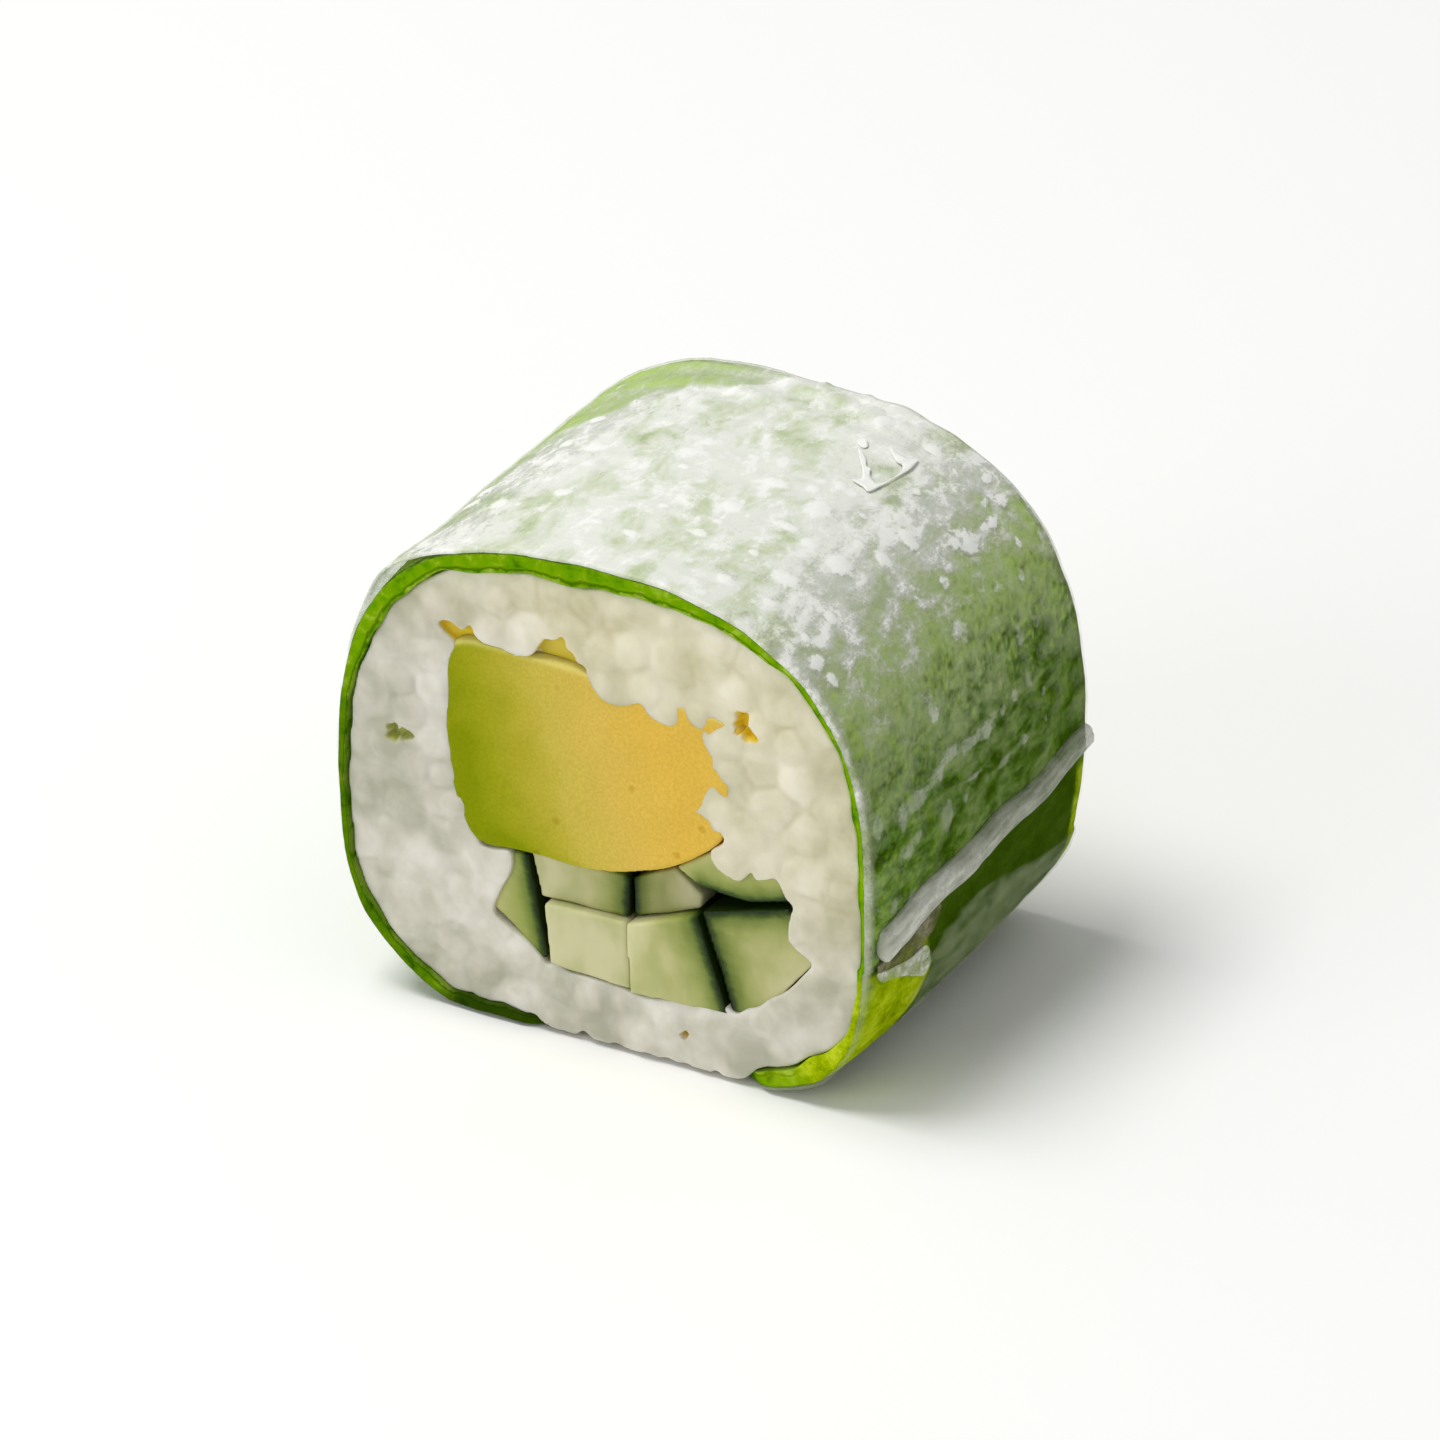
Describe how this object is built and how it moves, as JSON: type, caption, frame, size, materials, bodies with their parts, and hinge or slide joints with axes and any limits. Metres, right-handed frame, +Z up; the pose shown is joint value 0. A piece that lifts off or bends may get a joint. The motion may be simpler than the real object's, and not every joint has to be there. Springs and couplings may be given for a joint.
{
  "type": "cucumber avocado roll",
  "caption": "Cut piece of a soft roll: avocado and cucumber sticks in rice, wrapped in a green leaf and a translucent rice-paper sheet with a rolled seam.",
  "frame": {"origin": "under the middle of the roll, on the flat that it rests on", "axes": "+Z up; Y along the roll's axis, the pictured cut face towards -Y; +X to the right of that face"},
  "size_m": [0.0368, 0.0268, 0.0327],
  "materials": {
    "rice_paper_film": "moist translucent film",
    "green_leaf": "moist satin",
    "cooked_rice": "moist satin",
    "avocado_flesh": "smooth satin",
    "cucumber_flesh": "wet cut flesh"
  },
  "bodies": {
    "root": {"rice_paper": "rice_paper_film", "lettuce_leaf": "green_leaf", "sushi_rice": "cooked_rice", "avocado_wedge": "avocado_flesh", "cucumber_stick_1": "cucumber_flesh", "cucumber_stick_2": "cucumber_flesh", "cucumber_stick_3": "cucumber_flesh", "cucumber_stick_4": "cucumber_flesh", "cucumber_stick_5": "cucumber_flesh", "cucumber_stick_6": "cucumber_flesh", "cucumber_stick_7": "cucumber_flesh"}
  },
  "joints": []
}
